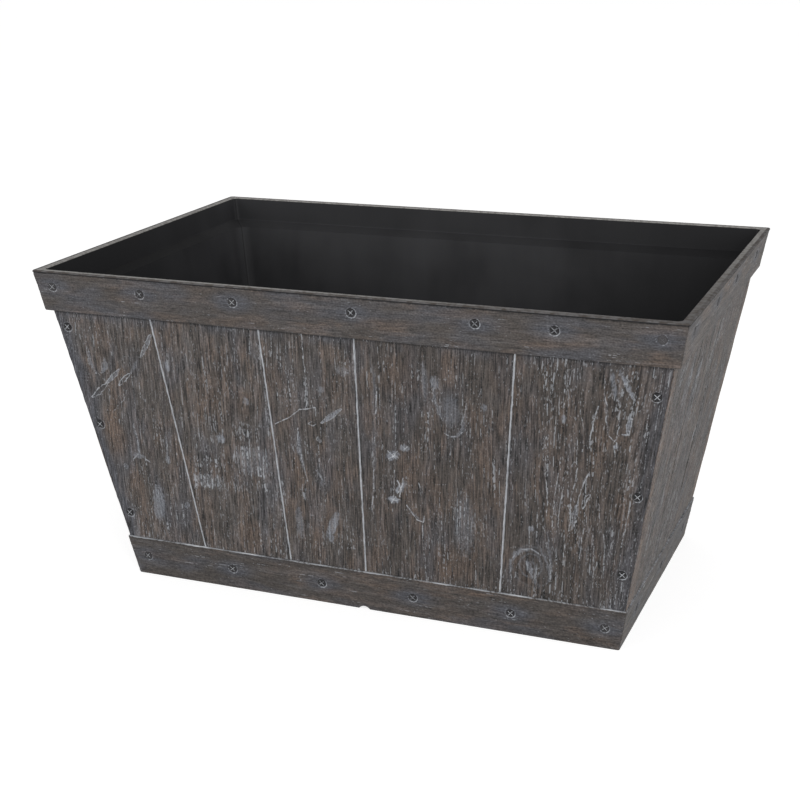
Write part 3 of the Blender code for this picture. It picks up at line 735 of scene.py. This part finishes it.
def staveRelief(wall, number, marks, screws, mitred, jointWash, cornerCold):
    seed = wall["seed"] * 10 + number

    def relief(place):
        u, v = place["u"], place["v"]
        half = wall["span"] * 1000
        tilt = wear["lean"] + wear["cornerLean"] * softStep(u / half, 0.68, 0.92)
        upright = u + tilt * (v - wear["upright"])
        along = v + 3 * smoothNoise(u / 30, v / 90, seed + 9)
        sway = upright + 1.6 * smoothNoise(u / 45, v / 110, seed)
        sway += 0.3 * smoothNoise(u / 18, v / 50, seed + 1)
        for knotU, knotV, wide, tall in marks["knots"]:
            off = np.hypot((u - knotU) / wide, (v - knotV) / tall)
            bend = wear["knotBend"] * np.exp(-(off - 0.4) ** 2 * 2)
            sway += np.sign(u - knotU) * bend * np.clip(np.abs(u - knotU) / 4, 0, 1)
        sink = waves(staveGrain, sway, along, seed)
        laid, dense, bare, smeared, dirtAndShade, warm, pale = [np.zeros(u.shape) for _ in range(7)]
        tone = marks["tones"][number]
        warm += tone * 0.3
        grit = smoothNoise(u / 1.7, v / 2.6, seed + 20)
        # cracks that open along the fibre
        splits = smoothNoise(sway / 2.2, along / 40, seed + 5)
        few = softStep(smoothNoise(u / 22, v / 60, seed + 6), 0.0, 0.5)
        crack = softStep(splits, 0.52, 0.70) * few
        sink += wear["splitDepth"] * crack
        overlay(laid, 0.34 * crack * softStep(smoothNoise(u / 9, v / 11, seed + 21), -0.4, 0.4))
        overlay(dirtAndShade, 0.55 * softStep(-splits, 0.50, 0.75) * softStep(-few, -0.8, -0.2))
        for leftU, rightU, topV, bottomV, strength in marks["patches"]:
            ragged = 5 * smoothNoise(u / 7, v / 12, seed + 7) + 2 * smoothNoise(u / 2, v / 4, seed + 22)
            inside = np.minimum(np.minimum(u - leftU, rightU - u), np.minimum(v - topV, bottomV - v))
            overlay(dense, strength * softStep(inside + ragged, -1.5, 4.0))
        for middleU, middleV, halfU, halfV, strength in marks["stains"]:
            off = np.hypot((u - middleU) / halfU, (v - middleV) / halfV)
            off += 0.3 * smoothNoise(u / 12, v / 24, seed + 23)
            overlay(warm, strength * softStep(1.25 - off, 0.0, 0.7))
        for middleU, middleV, halfU, halfV, strength in marks["streaks"]:
            offU = sway - middleU - wear["lean"] * (middleV - wear["upright"])
            off = np.hypot(offU / halfU, (v - middleV) / halfV)
            overlay(dirtAndShade, strength * softStep(1.3 - off, 0.0, 0.8))
        for knotU, knotV, wide, tall in marks["knots"]:
            off = np.hypot((u - knotU) / wide, (v - knotV) / tall)
            rings = np.sin(off * 15 + 1.6 * smoothNoise(u / 9, v / 9, seed + 11) - 0.6)
            inside = softStep(1.12 - off, 0.0, 0.3)
            sink += wear["knotDepth"] * inside * (0.5 - 0.5 * rings)
            overlay(smeared, 0.30 * softStep(rings, 0.50, 1.0) * inside)
            overlay(dirtAndShade, 0.20 * inside)
        for halfWidth, strength, path in marks["trails"]:
            away, along = toStroke(u + 1.5 * smoothNoise(u / 6, v / 6, seed + 27), v, path)
            rough = (1 + 0.4 * smoothNoise(u / 5, v / 8, seed + 28)) * (0.45 + 0.75 * np.sin(pi * along))
            soft = softStep(halfWidth * rough - away, 0.0, 0.9 * halfWidth)
            overlay(smeared, wear["trails"] * strength * soft)
        for middleU, middleV, halfU, halfV, slant, strength in marks["smears"]:
            offU = u - middleU - slant * (v - middleV)
            off = np.hypot(offU / halfU, (v - middleV) / halfV)
            rough = 0.35 * smoothNoise(u / 2.2, v / 3.4, seed + 24) + 0.15 * grit
            overlay(smeared, strength * softStep(1.2 - off + rough, 0.0, 0.5))
        for strength, path in marks["cracks"]:
            away, _ = toStroke(u + 0.7 * smoothNoise(u / 5, v / 6, seed + 14), v, path)
            beads = 0.62 + 0.38 * softStep(smoothNoise(u / 4, v / 4.5, seed + 25), -0.35, 0.25)
            width = wear["crackWidth"] + 0.22 * smoothNoise(u / 6, v / 6, seed + 13)
            line = np.exp(-(away / width) ** 2)
            sink += wear["crackDepth"] * line
            overlay(laid, strength * line * beads)
            overlay(dirtAndShade, 0.35 * strength * np.exp(-((away - 1.5) / 0.7) ** 2))
        for halfWidth, depth, edge, bed, path in marks["gouges"]:
            away, along = toStroke(u + 0.8 * smoothNoise(u / 4, v / 4, seed + 14), v, path)
            width = halfWidth * (0.35 + 0.85 * np.sin(pi * along))
            width *= 1 + 0.30 * smoothNoise(u / 5, v / 5, seed + 16)
            broken = softStep(smoothNoise(u / 3.5, v / 3.5, seed + 26), -0.7, 0.1)
            sink += depth * np.exp(-(away / width) ** 4)
            overlay(laid, edge * (0.42 + 0.42 * broken) * np.exp(-((away - 1.10 * width) / 0.55) ** 2))
            within = softStep(width - away, 0.0, 0.5)
            overlay(smeared, bed * within * (0.9 + 0.3 * grit))
            # painted shade: the sunk bed of a gouge is darkened, more where less wash lies in it
            overlay(dirtAndShade, (0.6 - bed) * within)
            sink -= wear["gougeRidge"] * np.exp(-((away - 2.0 * width) / (0.7 * width)) ** 2)
        # a V against the next stave, and a worn round at the corners
        ragged = 0.30 * smoothNoise(u / 3, v / 7, seed + 15)
        underRim = v - (box["height"] - rimBottom) / cos(box["slope"]) * 1000
        chill = 0.75 * softStep(16 - underRim, 0.0, 16)
        chill *= softStep(smoothNoise(u / 25, v / 18, seed + 17), -0.6, 0.3)
        for side, isMitred in (("fromLeft", mitred[0]), ("fromRight", mitred[1])):
            away = place[side]
            if isMitred:
                sink += edgeDrop(away, board["cornerRound"], board["cornerRound"] * board["cornerDrop"])
                overlay(bare, 0.5 * softStep(2.5 - away, 0.0, 2.0))
                near = 22 + 8 * smoothNoise(u / 30, v / 30, seed + 18)
                overlay(chill, cornerCold * softStep(near - away, 0.0, 16))
                overlay(warm, (0.8 - cornerCold) * 2 * softStep(26 - away, 0.0, 10))
                overlay(dirtAndShade, cornerCold * 0.45 * softStep(near * 0.5 - away, 0.0, 8) * (0.6 + 0.6 * grit))
                overlay(dirtAndShade, 0.5 * softStep(1.6 - away, 0.0, 0.6))
                pale += (0.8 - cornerCold) * 0.5 * softStep(24 - away, 0.0, 8)
            else:
                sink += edgeDrop(away, wear["jointWidth"] + 0.8 * ragged, wear["jointDepth"])
                seam = jointWash * (0.92 + 0.12 * smoothNoise(u / 40, v / 22, seed + 29))
                overlay(laid, seam * softStep(wear["jointWash"] + 0.9 * ragged - away, 0.0, 0.5))
                # where no wash fills a joint it's a dark line
                overlay(dirtAndShade, 0.9 * (1 - jointWash) * softStep(wear["jointWidth"] + ragged - away, 0.0, 0.6))
        # painted shadow: a dark line on the staves just under the proud rim board
        overlay(dirtAndShade, 0.95 * softStep(wear["underRim"] + 0.4 * grit - underRim, 0.0, 1.0))
        patchy = softStep(smoothNoise(u / 16, v / 7, seed + 19), 0.0, 0.6)
        overlay(dense, 0.40 * softStep(12 - underRim, 0.0, 10) * patchy)
        overlay(dense, 0.40 * softStep(8 - place["fromBottom"], 0.0, 8))
        screwRings(u, v, screws, sink, laid)
        rank = np.full(u.shape, float(seed % 97) * 1.37)
        dirtAndShade = tone + dirtAndShade * (1 - tone) - pale
        return sink, (upright, v, rank), (np.clip(laid, 0, 1), dense, bare, smeared), (chill, dirtAndShade, warm)

    return relief


def bandRelief(wall, number, screws, topWash):
    seed = wall["seed"] * 10 + 50 + number
    half = wall["span"] * 1000
    least = 0.45 if topWash == 1.0 else 0.85      # what is left of the wash where it's most worn

    def relief(place):
        u, v = place["u"], place["v"]
        sway = v + 1.8 * smoothNoise(u / 110, v / 30, seed) + 0.5 * smoothNoise(u / 36, v / 12, seed + 1)
        sink = waves(bandGrain, sway, u, seed)
        laid = np.zeros(u.shape)
        splits = smoothNoise(sway / 2.0, u / 34, seed + 5)
        few = softStep(smoothNoise(u / 45, v / 14, seed + 6), 0.1, 0.6)
        crack = softStep(splits, 0.52, 0.74) * few
        sink += 0.3 * crack
        overlay(laid, 0.30 * crack)
        ragged = 0.25 * smoothNoise(u / 6, v / 3, seed + 7)
        for side in ("fromLeft", "fromRight"):
            sink += edgeDrop(place[side], board["cornerRound"], board["cornerRound"] * board["cornerDrop"])
        sink += edgeDrop(place["fromBottom"], 0.7, 0.35)
        sink += edgeDrop(place["fromTop"], 0.9, 0.5)
        bright = least + (1 - least) * softStep(smoothNoise(u / 26, v / 30, seed + 8), -0.6, 0.4)
        overlay(laid, topWash * softStep(0.90 + ragged - place["fromTop"], 0.0, 0.5) * bright)
        bare = 0.5 * softStep(2.0 - np.minimum(place["fromLeft"], place["fromRight"]), 0.0, 1.6)
        dense = 0.30 * softStep(smoothNoise(u / 60, v / 16, seed + 9), 0.0, 0.7)
        # painted shade: a thin dark line just below the washed top edge, under its eased arris
        dirtAndShade = 0.55 * topWash * softStep(0.8 - np.abs(place["fromTop"] - 1.9), 0.0, 0.5)
        gaps = softStep(smoothNoise(u / 4, v / 20, seed + 11) + u / half * 0.5, -0.1, 0.3)
        overlay(dirtAndShade, (0.8 if topWash < 0.2 else 0.0) * gaps * softStep(1.4 - place["fromTop"], 0.0, 0.5))
        overlay(dirtAndShade, 0.5 * softStep(-splits, 0.52, 0.75))
        screwRings(u, v, screws, sink, laid)
        warm = 0.45 * softStep(smoothNoise(u / 55, v / 14, seed + 10), 0.15, 0.7)
        rank = np.full(u.shape, float(seed % 97) * 1.37)
        chill = np.zeros(u.shape)
        for across, down, worn in screws:
            away = np.hypot((u - across) / 2.2, v - down)
            overlay(chill, 0.8 * softStep(14 - away, 0.0, 10))
        return sink, (v, u, rank), (np.clip(laid, 0, 1), dense, bare, np.zeros(u.shape)), (chill, dirtAndShade, warm)

    return relief


def fanned(heads, feet, wall):
    # joint lines of tapered staves, from the widths along the top and the bottom
    joints = []
    for place in range(1, len(heads)):
        ends = []
        for widths, z in ((feet, staveBottom), (heads, staveTop)):
            ends.append(reach(wall["span"], z) * (2 * sum(widths[:place]) / sum(widths) - 1))
        joints.append(ends)
    return joints


# the weep notch of the long base boards, in millimetres
notch = {"wide": 11, "high": 3, "reach": 8}

# each stave's width along the top and along the bottom, from left to right
staveWidths = {
    "long": ((104, 110, 92, 145, 133), (87, 93, 78, 132, 117)),
    "end": ((128, 108, 155), (92, 77, 110)),
}

# how much wash fills the joints and lies along the rim and base boards' tops, and how cold the corners are
dressing = {
    "long": {"joint": 1.0, "rim": 0.15, "base": 1.0, "cold": 0.8, "notch": notch},
    "end": {"joint": 0.12, "rim": 0.15, "base": 0.5, "cold": 0.3, "notch": None},
}


def dressWall(wallName, marks, screws, step, woods):
    wall = walls[wallName]
    kind = "long" if wallName in ("front", "back") else "end"
    look = dressing[kind]
    heads, feet = staveWidths[kind]
    slit = board["slit"] / 2000

    def corner(side, inward, heights):
        # a mitred end: where it is at the bottom and at the top, and 1 for the mitre
        return [side * (reach(wall["span"], z, inward) - slit) for z in heights] + [1]

    def dressBand(level, number, inward, heights, cut=None):
        left, right = [corner(side, inward[0], heights) for side in (-1, 1)]
        relief = bandRelief(wall, number, screws[level], look[level])
        band = drawBoard(f"{wallName}_{level}_board", wallName, inward, heights, left, right, step,
                         relief, cut)
        band.data.materials.append(woods[level])

    upDown = (staveBottom, staveTop)
    joints = [[low, high, 0] for low, high in fanned(heads, feet, wall)]
    lines = [corner(-1, 0.0, upDown)] + joints + [corner(1, 0.0, upDown)]
    edges = screws.get("left_edge", []) + screws.get("right_edge", [])
    for number, (left, right) in enumerate(zip(lines, lines[1:])):
        left = [left[0] + (1 - left[2]) * slit, left[1] + (1 - left[2]) * slit, left[2]]
        right = [right[0] - (1 - right[2]) * slit, right[1] - (1 - right[2]) * slit, right[2]]
        relief = staveRelief(wall, number, marks, edges, (left[2], right[2]), look["joint"], look["cold"])
        stave = drawBoard(f"{wallName}_stave_{number + 1}", wallName, (0.0, staveIn), upDown, left, right,
                          step, relief)
        stave.data.materials.append(woods["stave"])
    dressBand("rim", 1, (-rimOut, -box["gap"]), (rimBottom, rimTop))
    dressBand("base", 2, (-baseOut, staveIn), (0.0, box["baseHeight"]), look["notch"])
    print("dressed the", wallName)


screw = {
    "radius": 4.1,
    "sides": 36,
    "crossLength": 3.5,      # from the middle to an arm's end
    "crossWidth": 0.36,      # half of an arm
    "crossDepth": 0.8,
    "dome": 0.35,
    "edge": 0.45,
    "edgeDrop": 0.5,
    "wornAway": 0.7,         # how much of the cross fills up on the most worn screw
    "coneDepth": 2.6,
    "shank": 1.7,
    "length": 6.0,
    "dark": shade(25, 25, 27),
    "faded": shade(84, 82, 84),
    "filled": shade(180, 182, 186),
}


def makeScrew(name, wall, inward, across, down, worn, material, chance):
    # a countersunk screw: its head is a disc drawn out of a grid, with the driver's cross sunk into it
    size = screw["radius"]
    bm = bmesh.new()
    grainLayer = bm.verts.layers.float_vector.new("grain")
    marksLayer = bm.verts.layers.float_color.new("marks")
    bmesh.ops.create_grid(bm, x_segments=screw["sides"], y_segments=screw["sides"], size=1)
    outline = [edge for edge in bm.edges if edge.is_boundary]
    turn = pi / 4 + chance.uniform(-0.10, 0.10)
    for vert in bm.verts:
        x, y = vert.co.x, vert.co.y
        flatX = x * (1 - y * y / 2) ** 0.5 * size
        flatY = y * (1 - x * x / 2) ** 0.5 * size
        away = (flatX ** 2 + flatY ** 2) ** 0.5
        armX = abs(flatX * cos(turn) + flatY * sin(turn))
        armY = abs(flatY * cos(turn) - flatX * sin(turn))
        inArm = max(min((screw["crossWidth"] + 0.12 - min(armX, armY)) / 0.24, 1), 0)
        inArm *= max(min((screw["crossLength"] - max(armX, armY)) / 0.4, 1), 0)
        inArm *= 1 - screw["wornAway"] * worn
        rim = max(0.0, (away - size + screw["edge"]) / screw["edge"])
        rise = -screw["dome"] * (away / size) ** 4 - screw["crossDepth"] * inArm - screw["edgeDrop"] * rim
        vert.co = (flatX, flatY, rise)
        vert[grainLayer] = Vector((flatX + across, flatY + down, across * 0.37))
        vert[marksLayer] = (inArm, worn, 0, 1)
    # the cone under the head, then the shank, closed at its end
    for depth, radius in ((screw["coneDepth"], screw["shank"]), (screw["length"], screw["shank"] * 0.8)):
        run = bmesh.ops.extrude_edge_only(bm, edges=outline)["geom"]
        outline = [item for item in run if isinstance(item, bmesh.types.BMEdge)]
        for vert in [item for item in run if isinstance(item, bmesh.types.BMVert)]:
            shrink = radius / vert.co.xy.length
            vert.co = (vert.co.x * shrink, vert.co.y * shrink, -depth)
    bmesh.ops.holes_fill(bm, edges=outline, sides=0)
    bmesh.ops.recalc_face_normals(bm, faces=bm.faces)
    z = heightOf(down)
    onWall = Matrix.Translation((across / 1000, -(reach(wall["out"], z) - inward), z))
    upright = Matrix.Rotation(pi / 2 + box["slope"], 4, "X")
    turned = Matrix.Rotation(wall["turn"], 4, "Z") @ onWall @ upright @ Matrix.Scale(0.001, 4)
    bmesh.ops.transform(bm, matrix=turned, verts=bm.verts)
    for face in bm.faces:
        face.smooth = True
    mesh = bpy.data.meshes.new(name)
    bm.to_mesh(mesh)
    bm.free()
    obj = added(name, mesh)
    mesh.materials.append(material)
    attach(obj, "root")
    return obj


def driveScrews(wallName, screws, material):
    wall = walls[wallName]
    chance = np.random.RandomState(wall["seed"])
    faces = {"rim": -rimOut, "base": -baseOut, "left_edge": 0.0, "right_edge": 0.0}
    for level, places in screws.items():
        for number, (across, down, worn) in enumerate(places, 1):
            node = f"{wallName}_{level}_screw_{number}"
            obj = makeScrew(f"{node}_head", wall, faces[level], across, down, worn, material, chance)
            # the solids have the screws of the front and the right end
            if wallName in ("front", "right"):
                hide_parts(node)
    print("drove the screws of the", wallName)


def screwMaterial():
    desk = Desk("dark_screw")
    across, along, number = desk.parts(desk.attribute("grain"))
    inCross, worn, _ = desk.drawn()
    grime = desk.noise(desk.joined(across * 0.8, along * 0.8, number), detail=2.0)
    faded = desk.step(grime, 0.45, 0.75) * 0.25 + worn * 0.55
    colour = desk.mixed(screw["dark"], screw["faded"], faded)
    washed = desk.step(inCross + (grime - 0.5) * 0.4, 0.30, 0.65)
    colour = desk.mixed(colour, screw["filled"], washed * (0.92 - worn * 0.50))
    return desk.finish(colour, 0.55 + washed * 0.3, grime, 0.0002, 0.5, 0.25)


tub = {
    "dark": shade(27, 27, 29),
    # the colour of the painted light on the inner walls
    "paintedLight": shade(58, 58, 60),
    "lipWarm": shade(72, 66, 62),
    "lipCool": shade(98, 96, 96),
    "lipPale": shade(156, 154, 151),
    "roughness": 0.68,
    "shine": 0.2,
    "smooth": radians(28),          # softer edges than this are shaded as one surface
    "ledge": (0.2900, 0.2960),      # heights of the inner step, painted darker as painted shade over its lit top
    "crease": 0.0011,               # half width of the painted shade line down each inner corner
    "paleEdge": 0.0030,             # from the lip's outer edge in to its pale inner edge
}


def tubMaterial():
    desk = Desk("black_tub")
    place = desk.node("ShaderNodeTexCoord", output="Object")
    x, y, z = desk.parts(place)
    cloud = desk.noise(place, 9.0, 3.0)
    fine = desk.noise(place, 260.0, 2.0)
    streak = desk.noise(desk.joined(x * 30, y * 30, z * 4), 1.0, 3.0)
    dusty = desk.step(z, box["height"] - 0.0011, box["height"] - 0.0004)
    low, high = tub["ledge"]
    # painted light: a pale mottled patch high on the wall at the back, where light falls into the tub, that
    # fades to the right
    paintedLight = desk.step(cloud * 0.75 + streak * 0.25, 0.15, 0.70) * desk.step(y, -0.10, 0.16)
    paintedLight = paintedLight * (1.0 - desk.step(z, high, high + 0.002) * 0.45) * desk.step(z, 0.12, 0.27)
    paintedLight = paintedLight * (1.0 - desk.step(x, 0.06, 0.28) * 0.75)
    black = desk.mixed(tub["dark"], tub["paintedLight"], paintedLight)
    # painted shade: the inner step is darkened towards black, less at the back, so that its lit top shows
    # dark
    shadedLedge = desk.step(z, low - 0.0004, low) * (1.0 - desk.step(z, high, high + 0.0004))
    black = desk.mixed(black, (0, 0, 0, 1), shadedLedge * (0.5 - desk.step(y, 0.10, 0.16) * 0.25))
    # painted shade: a dark line down each inner corner, where the walls meet on a diagonal
    across = x.size() - y.size() - (box["length"] - box["width"]) / 2
    crease = desk.step(tub["crease"] - across.size(), 0.0, tub["crease"]) * desk.step(z, 0.05, 0.10)
    black = desk.mixed(black, (0, 0, 0, 1), crease * 0.55)
    # painted highlight: a pale line beside each corner's painted shade, in the painted light's colour
    cornerHighlight = desk.step(tub["crease"] - (across + tub["crease"] * 2.2).size(), 0.0, tub["crease"])
    black = desk.mixed(black, tub["paintedLight"], cornerHighlight * desk.step(z, 0.15, 0.25) * 0.55)
    grain = desk.noise(desk.joined(x * 120, y * 120, z), 1.0, 2.0)
    lip = desk.mixed(tub["lipWarm"], tub["lipCool"], desk.step(grain * 0.6 + fine * 0.4, 0.40, 0.60))
    fromEdge = (box["length"] / 2 - x.size()).least(box["width"] / 2 - y.size())
    inner = desk.step(fromEdge + (fine - 0.5) * 0.0012, tub["paleEdge"] - 0.0005, tub["paleEdge"] + 0.0005)
    pale = (0.55 + desk.step(fine, 0.35, 0.60) * 0.45) * inner * (1.0 - desk.step(x - y, 0.00, 0.60))
    lip = desk.mixed(lip, tub["lipPale"], pale)
    colour = desk.mixed(black, lip, dusty)
    roughness = tub["roughness"] + (cloud - 0.5) * 0.2
    return desk.finish(colour, roughness, fine * 0.5 + cloud, 0.0003, 0.4, tub["shine"])


def makeTub():
    # the moulding's own shape, smooth over its rounded corners
    bm = bmesh.new()
    bm.from_mesh(bpy.data.objects["tub"].data)
    bmesh.ops.remove_doubles(bm, verts=bm.verts, dist=0.00001)
    bmesh.ops.dissolve_limit(bm, angle_limit=radians(1), verts=bm.verts, edges=bm.edges)
    for face in bm.faces:
        face.smooth = True
    for edge in bm.edges:
        edge.smooth = edge.calc_face_angle(0) < tub["smooth"]
    mesh = bpy.data.meshes.new("tub_shell")
    bm.to_mesh(mesh)
    bm.free()
    obj = added("tub_shell", mesh)
    mesh.materials.append(tubMaterial())
    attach(obj, "root")
    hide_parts("tub")
    print("made the tub")


studio = {
    "floorSize": 9,
    "floorColour": 0.55,
    "floorRoughness": 0.9,
    "floorShine": 0.1,
    "floorGlow": 0.72,         # so that it shows as white
    "aim": (0, 0, 0.15),
    "world": 0.50,
    "key": {"place": (1.4, -2.5, 1.0), "size": 1.5, "power": 38},
    "side": {"place": (2.4, 0.2, 0.9), "size": 1.4, "power": 9},
    "fill": {"place": (-2.0, -2.2, 0.9), "size": 1.8, "power": 26},
}


def makeStudio():
    bm = bmesh.new()
    bmesh.ops.create_grid(bm, x_segments=1, y_segments=1, size=studio["floorSize"])
    mesh = bpy.data.meshes.new("floor")
    bm.to_mesh(mesh)
    bm.free()
    floor = added("floor", mesh)
    desk = Desk("pale_floor")
    path = desk.node("ShaderNodeLightPath")
    outputs = path.socket.node.outputs
    seen = Wire(desk, outputs["Is Camera Ray"]).largest(Wire(desk, outputs["Is Glossy Ray"]))
    seen = seen.largest(Wire(desk, outputs["Is Transmission Ray"]))
    level = studio["floorColour"]
    values = {"Base Color": (level, level, level, 1), "Roughness": studio["floorRoughness"],
              "Specular IOR Level": studio["floorShine"], "Emission Color": (1, 1, 1, 1),
              "Emission Strength": seen * studio["floorGlow"]}
    for name, value in values.items():
        desk.feed(desk.shader.inputs[name], value)
    mesh.materials.append(desk.material)
    world = bpy.data.worlds.new("studio")
    bpy.context.scene.world = world
    world.use_nodes = True
    tree = world.node_tree
    sky = tree.nodes["Background"]
    sky.inputs["Color"].default_value = (1, 1, 1, 1)
    path = tree.nodes.new("ShaderNodeLightPath")
    seen = tree.nodes.new("ShaderNodeMath")
    seen.operation = "MAXIMUM"
    tree.links.new(path.outputs["Is Camera Ray"], seen.inputs[0])
    tree.links.new(path.outputs["Is Transmission Ray"], seen.inputs[1])
    strength = tree.nodes.new("ShaderNodeMapRange")
    strength.inputs["To Min"].default_value = studio["world"]
    strength.inputs["To Max"].default_value = 1.0
    tree.links.new(seen.outputs[0], strength.inputs["Value"])
    tree.links.new(strength.outputs["Result"], sky.inputs["Strength"])
    for name in ("key", "side", "fill"):
        lamp = studio[name]
        data = bpy.data.lights.new(name, "AREA")
        data.shape = "SQUARE"
        data.size = lamp["size"]
        data.energy = lamp["power"]
        obj = added(name, data)
        obj.location = lamp["place"]
        toward = Vector(studio["aim"]) - obj.location
        obj.rotation_euler = toward.to_track_quat("-Z", "Y").to_euler()
    bpy.context.scene.view_settings.view_transform = "Standard"
    print("lit the studio")


def build():
    placeCamera()
    makeStudio()
    makeTub()
    woods = {name: woodMaterial(f"weathered_{name}", looks) for name, looks in woodLooks.items()}
    endWoods = {name: woodMaterial(f"weathered_end_{name}", looks) for name, looks in endLooks.items()}
    screwHeads = screwMaterial()
    fine = board["fineStep"]
    plain = board["plainStep"]
    dressWall("front", frontMarks, frontScrews, fine, woods)
    dressWall("right", chanceMarks(walls["right"], 4, 201), endScrews, plain, endWoods)
    dressWall("back", chanceMarks(walls["back"], 8, 301), frontScrews, plain, woods)
    dressWall("left", chanceMarks(walls["left"], 4, 401), endScrews, plain, endWoods)
    for wallName in walls:
        driveScrews(wallName, frontScrews if wallName in ("front", "back") else endScrews, screwHeads)


build()
